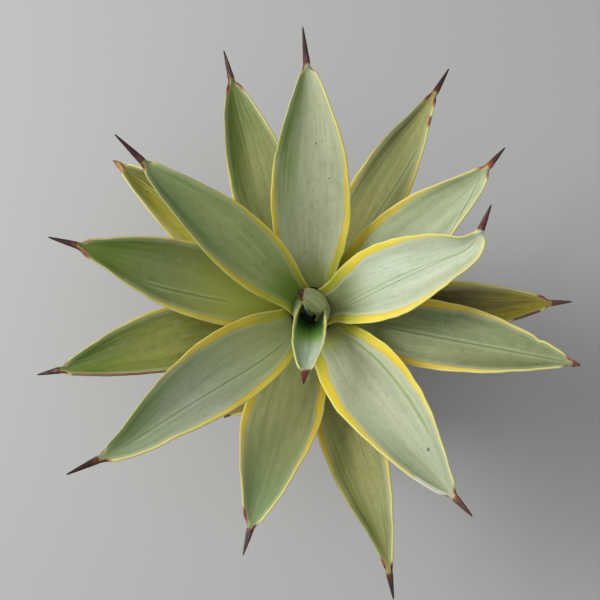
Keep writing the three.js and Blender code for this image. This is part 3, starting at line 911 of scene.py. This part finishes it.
def leaf_material(name, leaf, look):
    p = LeafSkin(name, leaf, look)
    green = p.bare_green()
    flesh, dents = p.creased(p.foot(p.tint(p.flesh(), green, look["vivid"])))
    p.measure_margin()
    gold = p.gold()
    colour = p.mix(p.ramp(p.face, -0.2, 0.2), p.under(gold), p.upper(flesh, gold))
    colour, brown = p.ended(p.dried(p.spotted(p.rimmed(colour))))
    rough = p.ramp(green, 0.0, 1.0, BLOOMED_ROUGHNESS, GREEN_ROUGHNESS)
    rough = p.add(rough, p.stray(p.fine, ROUGHNESS_STRAY))
    shader = p.shader.inputs
    p.put(colour, shader["Base Color"])
    p.put(p.math("SUBTRACT", rough, p.times(brown, SPINE_GLOSS)), shader["Roughness"])
    p.put(p.relief(dents), shader["Normal"])
    shader["Specular IOR Level"].default_value = 0.4
    shader["Subsurface Weight"].default_value = 0.06
    shader["Subsurface Radius"].default_value = (0.4, 0.8, 0.2)
    shader["Subsurface Scale"].default_value = 0.002
    return p.material


for age, (row, look_row) in enumerate(zip(LEAVES, LOOKS)):
    shape = Leaf(row, age)
    finish = {**USUAL_LOOK, **look_row}
    node = f"leaf_{age + 1:02d}"
    blade = leaf_mesh(f"agave_{node}", shape, finish)
    blade.data.materials.append(leaf_material(f"skin_{node}", shape, finish))
    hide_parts(node)


# The stem: fibrous, with the scars of shed leaves on its neck

STEM_SIDES = 144
STEM_RINGS = 40
STEM_STEP = 0.7
SCAR_SPACING = 3.4
SCAR_DEPTH = 0.55
FIBRE_DEPTH = 0.12
FIBRES = 38
BARK_FADES = (96, 104)
# Heights, in metres, where the top of the stem turns to the painted shade of the hollow
STEM_SHADE_Z = (109 * MM, 112.5 * MM)


def stem_piece():
    ages = lerp(STEM_TOP_AGE, len(LEAVES), np.linspace(1, 0, STEM_RINGS) ** 2)
    outline = [[0, SOIL_Z - ROOT_DEPTH], [ROOT_RADIUS, SOIL_Z - ROOT_DEPTH], [NECK_RADIUS, SOIL_Z]]
    outline += [[foot_radius(a), foot_height(a)] for a in ages]
    outline += [[0, foot_height(STEM_TOP_AGE)]]
    piece = turned("agave_stem", spaced(outline, STEM_STEP), STEM_SIDES)
    co = points_of(piece)
    radius = np.hypot(co[:, 0], co[:, 1])
    angle = np.arctan2(co[:, 1], co[:, 0])
    z = co[:, 2]
    rows = (z - SOIL_Z) / SCAR_SPACING
    scar = np.abs(np.sin(np.pi * rows + 0.5 * np.sin(5 * angle + np.floor(rows) * 2.4)))
    ridge = np.clip(1 - scar * 2.2, 0, 1) * SCAR_DEPTH - SCAR_DEPTH
    fibre = FIBRE_DEPTH * np.sin(FIBRES * angle + 3 * np.sin(z * 0.7))
    shown = smooth(z, SOIL_Z + 0.4, SOIL_Z + 2) * (1 - smooth(z, *BARK_FADES)) * (radius > 1)
    co[:, :2] *= (1 + (ridge + fibre) * shown / np.maximum(radius, 1))[:, None]
    move_points(piece, co)
    add_attribute(piece, "scar", scar, "FLOAT")
    return piece


def stem_material():
    p = Paint("stem_bark")
    position = p.place()
    x, y, z = p.split(position)
    coarse = p.noise(position, 160, 3, 0.6)
    fibres = p.noise(p.joined(p.times(x, 900), p.times(y, 900), p.times(z, 90)), 1, 3, 0.6)
    scar = p.attribute("scar").outputs["Fac"]
    bark = p.mix(p.ramp(fibres, 0.35, 0.65), linear("#6e5a36"), linear("#b39f6c"))
    bark = p.tint(bark, p.times(p.ramp(coarse, 0.45, 0.7), 0.5), "#7f7a45")
    bark = p.tint(bark, p.ramp(scar, 0.0, 0.35, 0.65, 0.0), "#4a3722")
    bark = p.tint(bark, p.ramp(z, 92 * MM, 104 * MM), "#a8b06a")
    # Painted shade: the top of the stem, deep in the hollow at the heart of the rosette, is tinted near-black
    # green
    bark = p.tint(bark, p.ramp(z, *STEM_SHADE_Z), "#16280a")
    p.put(bark, p.shader.inputs["Base Color"])
    p.put(p.ramp(fibres, 0.0, 1.0, 0.7, 0.9), p.shader.inputs["Roughness"])
    p.put(p.bump(p.add(fibres, p.times(coarse, 0.5)), 0.6, 0.6 * MM), p.shader.inputs["Normal"])
    return p.material


stem = stem_piece()
stem.data.materials.append(stem_material())
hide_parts("stem")


# The pot: a turned clay wall with rounded corners, and drain holes cut through its floor

POT_SIDES = 160
POT_STEP = 1.5
HOLE_SIDES = 40
# Radii of the foot's edge, under the band, of the band's and the rim's edges, and of the floor's corner
POT_ROUNDINGS = (1.4, 0.5, 1.3, 1.6, 1.2, 2.0)
SHARP_ANGLE = math.radians(50)


def pot_wall_radius(z):
    return lerp(POT_FOOT_RADIUS, POT_RIM_RADIUS - POT_BAND_STEP, z / POT_HEIGHT)


def pot_piece():
    band_z = POT_HEIGHT - POT_BAND_HEIGHT
    inner_top = pot_wall_radius(POT_HEIGHT) - POT_WALL
    corners = [
        [0, 0],
        [POT_FOOT_RADIUS, 0],
        [pot_wall_radius(band_z), band_z],
        [POT_RIM_RADIUS, band_z],
        [POT_RIM_RADIUS, POT_HEIGHT],
        [inner_top, POT_HEIGHT],
        [pot_wall_radius(POT_FLOOR) - POT_WALL, POT_FLOOR],
        [0, POT_FLOOR],
    ]
    piece = turned("clay_pot", spaced(rounded(corners, POT_ROUNDINGS), POT_STEP), POT_SIDES)
    cutters = []
    for i in range(DRAIN_HOLES):
        angle = 2 * math.pi * i / DRAIN_HOLES
        centre = (DRAIN_RING_RADIUS * math.cos(angle) * MM, DRAIN_RING_RADIUS * math.sin(angle) * MM, 0)
        bpy.ops.mesh.primitive_cylinder_add(
            vertices=HOLE_SIDES, radius=DRAIN_RADIUS * MM, depth=4 * POT_FLOOR * MM, location=centre)
        cutters.append(bpy.context.object)
        cut = piece.modifiers.new("hole", "BOOLEAN")
        cut.operation = "DIFFERENCE"
        cut.solver = "EXACT"
        cut.object = cutters[-1]
    done = bpy.data.meshes.new_from_object(piece.evaluated_get(bpy.context.evaluated_depsgraph_get()))
    piece.modifiers.clear()
    piece.data = done
    done.polygons.foreach_set("use_smooth", [True] * len(done.polygons))
    done.set_sharp_from_angle(angle=SHARP_ANGLE)
    for cutter in cutters:
        bpy.data.objects.remove(cutter)
    return piece


def clay_material():
    p = Paint("fired_clay")
    position = p.place()
    x, y, z = p.split(position)
    cloud = p.noise(position, 28, 4, 0.6)
    mottle = p.noise(position, 260, 3, 0.6)
    pores = p.noise(position, 1500, 2, 0.6)
    clay = p.mix(p.ramp(cloud, 0.35, 0.7), linear("#a9593a"), linear("#c37a52"))
    clay = p.tint(clay, p.times(p.ramp(mottle, 0.45, 0.7), 0.35), "#d3946b")
    # Pale mineral bloom at the foot and under the rim band
    near_foot = p.ramp(z, 4 * MM, 30 * MM, 1.0, 0.0)
    near_band = p.times(p.ramp(z, 50 * MM, 66 * MM), p.ramp(z, 67 * MM, 70 * MM, 1.0, 0.25))
    patchy = p.ramp(p.add(cloud, p.times(mottle, 0.5)), 0.65, 0.95)
    bloom = p.times(p.math("MAXIMUM", near_foot, near_band), patchy, 0.55)
    clay = p.tint(clay, bloom, "#d9c4b0")
    p.put(clay, p.shader.inputs["Base Color"])
    p.put(p.ramp(mottle, 0.3, 0.7, 0.78, 0.92), p.shader.inputs["Roughness"])
    lines = p.noise(p.joined(p.times(x, 12), p.times(y, 12), p.times(z, 1100)), 1, 3, 0.6)
    height = p.add(p.times(lines, 0.9), p.times(mottle, 0.35), p.times(pores, 0.4))
    p.put(p.bump(height, 0.45, 0.4 * MM), p.shader.inputs["Normal"])
    p.shader.inputs["Specular IOR Level"].default_value = 0.25
    return p.material


pot = pot_piece()
pot.data.materials.append(clay_material())
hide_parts("pot")


# The soil, with an uneven top, and the grit on it

SOIL_SIDES = 240
SOIL_WALL_STEP = 6
SOIL_TOP_STEP = 0.45
SOIL_SEED = 11
# Sizes of the lumps, as waves per mm, and their heights
LUMPS = ((0.35, 0.28), (0.9, 0.3), (2.0, 0.22))
LUMP_WAVES = 7
CRUMB_HEIGHT = 0.12
SOIL_SINK = 0.3

GRIT_SEED = 5
STONES = 460
STONE_SINK = 0.35


def soil_piece():
    bottom = POT_FLOOR + CLEARANCE
    inner = POT_WALL + CLEARANCE
    hole_z = SOIL_Z - ROOT_DEPTH - CLEARANCE
    outline = [
        [0, bottom],
        [pot_wall_radius(bottom) - inner, bottom],
        [pot_wall_radius(SOIL_Z) - inner, SOIL_Z],
        [NECK_RADIUS + CLEARANCE, SOIL_Z],
        [ROOT_RADIUS + CLEARANCE, hole_z],
        [0, hole_z],
    ]
    wall = spaced(outline[1:3], SOIL_WALL_STEP)
    fine = [outline[0]] + wall[:-1] + spaced(outline[2:4], SOIL_TOP_STEP) + outline[4:]
    piece = turned("potting_soil", fine, SOIL_SIDES)
    co = points_of(piece)
    top = co[:, 2] > SOIL_Z - 0.01
    rng = np.random.default_rng(SOIL_SEED)
    bumps = np.zeros(len(co))
    for scale, height in LUMPS:
        for _ in range(LUMP_WAVES):
            a, phase = rng.random(2) * 2 * np.pi
            bumps += height * np.sin(scale * (co[:, 0] * math.cos(a) + co[:, 1] * math.sin(a)) + phase) / 2
    bumps += rng.normal(0, CRUMB_HEIGHT, len(co))
    co[:, 2] += np.where(top, bumps - SOIL_SINK, 0)
    move_points(piece, co)
    return piece


def soil_material():
    p = Paint("dark_soil")
    position = p.place()
    lumps = p.noise(position, 420, 4, 0.65)
    specks = p.cells(position, 700)
    earth = p.mix(p.ramp(lumps, 0.35, 0.7), linear("#2a1f16"), linear("#5a4532"))
    earth = p.tint(earth, p.times(p.ramp(specks, 0.0, 0.25, 1.0, 0.0), 0.5), "#8a7458")
    p.put(earth, p.shader.inputs["Base Color"])
    p.shader.inputs["Roughness"].default_value = 0.95
    p.put(p.bump(p.add(lumps, p.times(specks, 0.4)), 0.9, 1.2 * MM), p.shader.inputs["Normal"])
    return p.material


def grit_piece():
    """Small stones and bark crumbs that lie on the soil, as one mesh."""
    bpy.ops.mesh.primitive_ico_sphere_add(subdivisions=2, radius=1)
    ball = bpy.context.object
    shape = np.array([v.co for v in ball.data.vertices])
    triangles = [list(f.vertices) for f in ball.data.polygons]
    bpy.data.objects.remove(ball)
    rng = np.random.default_rng(GRIT_SEED)
    outer = pot_wall_radius(SOIL_Z) - POT_WALL - CLEARANCE
    points, faces, tones = [], [], []
    for _ in range(STONES):
        size = rng.uniform(0.5, 1.0) ** 2 * 1.9 + 0.35
        reach = math.sqrt(rng.uniform((NECK_RADIUS + 1.2 + size) ** 2, (outer - size * 1.2) ** 2))
        angle = rng.random() * 2 * math.pi
        lumpy = 1 + 0.22 * np.sin(shape @ rng.normal(0, 2.4, 3) + rng.random() * 6)
        stretch = np.array([rng.uniform(0.8, 1.2), rng.uniform(0.6, 1.0), rng.uniform(0.5, 0.8)])
        turn = rng.random() * 2 * math.pi
        stone = shape * lumpy[:, None] * stretch * size
        x = stone[:, 0] * math.cos(turn) - stone[:, 1] * math.sin(turn)
        y = stone[:, 0] * math.sin(turn) + stone[:, 1] * math.cos(turn)
        base = len(points)
        centre = [reach * math.cos(angle), reach * math.sin(angle), SOIL_Z - STONE_SINK + size * 0.2]
        points += (np.stack([x, y, stone[:, 2]], -1) + centre).tolist()
        faces += [[base + a for a in f] for f in triangles]
        tones += [rng.random()] * len(shape)
    piece = mesh_object("soil_grit", points, faces)
    add_attribute(piece, "tone", tones, "FLOAT")
    return piece


def grit_material():
    p = Paint("grit")
    tone = p.attribute("tone").outputs["Fac"]
    mottle = p.noise(p.place(), 900, 3, 0.6)
    stone = p.mix(p.ramp(tone, 0.25, 0.35), linear("#4d3524"), linear("#8b7b68"))
    stone = p.tint(stone, p.ramp(tone, 0.6, 0.7), "#b9ad9a")
    stone = p.tint(stone, p.ramp(tone, 0.88, 0.9), "#dcd8cf")
    stone = p.tint(stone, p.times(p.ramp(mottle, 0.4, 0.7), 0.4), "#6a5a48")
    p.put(stone, p.shader.inputs["Base Color"])
    p.shader.inputs["Roughness"].default_value = 0.9
    p.put(p.bump(mottle, 0.6, 0.5 * MM), p.shader.inputs["Normal"])
    return p.material


soil = soil_piece()
soil.data.materials.append(soil_material())
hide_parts("soil")
grit = grit_piece()
grit.data.materials.append(grit_material())


# The plain studio: a pale floor, a soft light from the left and a weaker, larger one from above. Places and
# sizes of the lights are in metres.

FLOOR_HALF = 6000
FLOOR_Z = -1.02
FLOOR_COLOUR = "#b5b5b3"
KEY_PLACE, KEY_SIZE, KEY_POWER = (-0.8, 0.22, 0.8), 0.6, 10.5
TOP_PLACE, TOP_SIZE, TOP_POWER = (0.1, -0.2, 1.5), 1.2, 5
LIGHTS_AIM = (0, 0, 0.12)
ROOM_COLOUR = (0.93, 0.96, 1.0, 1)
ROOM_STRENGTH = 0.27


def floor_piece():
    corners = [[-1, -1], [1, -1], [1, 1], [-1, 1]]
    points = [[x * FLOOR_HALF, y * FLOOR_HALF, FLOOR_Z] for x, y in corners]
    piece = mesh_object("studio_floor", points, [[0, 1, 2, 3]], body=None)
    p = Paint("pale_floor")
    p.shader.inputs["Base Color"].default_value = linear(FLOOR_COLOUR)
    p.shader.inputs["Roughness"].default_value = 0.9
    piece.data.materials.append(p.material)
    return piece


def area_light(name, place, size, power):
    light = bpy.data.lights.new(name, "AREA")
    light.shape = "DISK"
    light.size = size
    light.energy = power
    lamp = bpy.data.objects.new(name, light)
    lamp.location = place
    x, y, z = np.array(LIGHTS_AIM) - np.array(place)
    lamp.rotation_euler = (math.atan2(math.hypot(x, y), -z), 0, math.atan2(x, -y) + math.pi)
    bpy.context.scene.collection.objects.link(lamp)
    return lamp


floor = floor_piece()
key = area_light("key_light", KEY_PLACE, KEY_SIZE, KEY_POWER)
top = area_light("top_light", TOP_PLACE, TOP_SIZE, TOP_POWER)

world = bpy.data.worlds.new("soft_room")
world.use_nodes = True
world.node_tree.nodes["Background"].inputs["Color"].default_value = ROOM_COLOUR
world.node_tree.nodes["Background"].inputs["Strength"].default_value = ROOM_STRENGTH
bpy.context.scene.world = world
bpy.context.scene.view_settings.view_transform = "Standard"


# The camera looks down at the rosette from a little in front of it. Lengths are in metres, the lens and its
# sensor in mm.

ELEVATION = math.radians(81)
DISTANCE = 0.440
AIM = (0.0, 0.0, 0.125)
ASIDE, ABOVE = -0.0054, 0.0027
SENSOR = 36
LENS = 58.67

camera = bpy.data.objects.new("camera", bpy.data.cameras.new("camera"))
camera.location = (
    AIM[0] + ASIDE,
    AIM[1] - DISTANCE * math.cos(ELEVATION) + ABOVE * math.sin(ELEVATION),
    AIM[2] + DISTANCE * math.sin(ELEVATION) + ABOVE * math.cos(ELEVATION),
)
camera.rotation_euler = (math.pi / 2 - ELEVATION, 0, 0)
camera.data.sensor_width = SENSOR
camera.data.lens = LENS
bpy.context.scene.collection.objects.link(camera)
bpy.context.scene.camera = camera
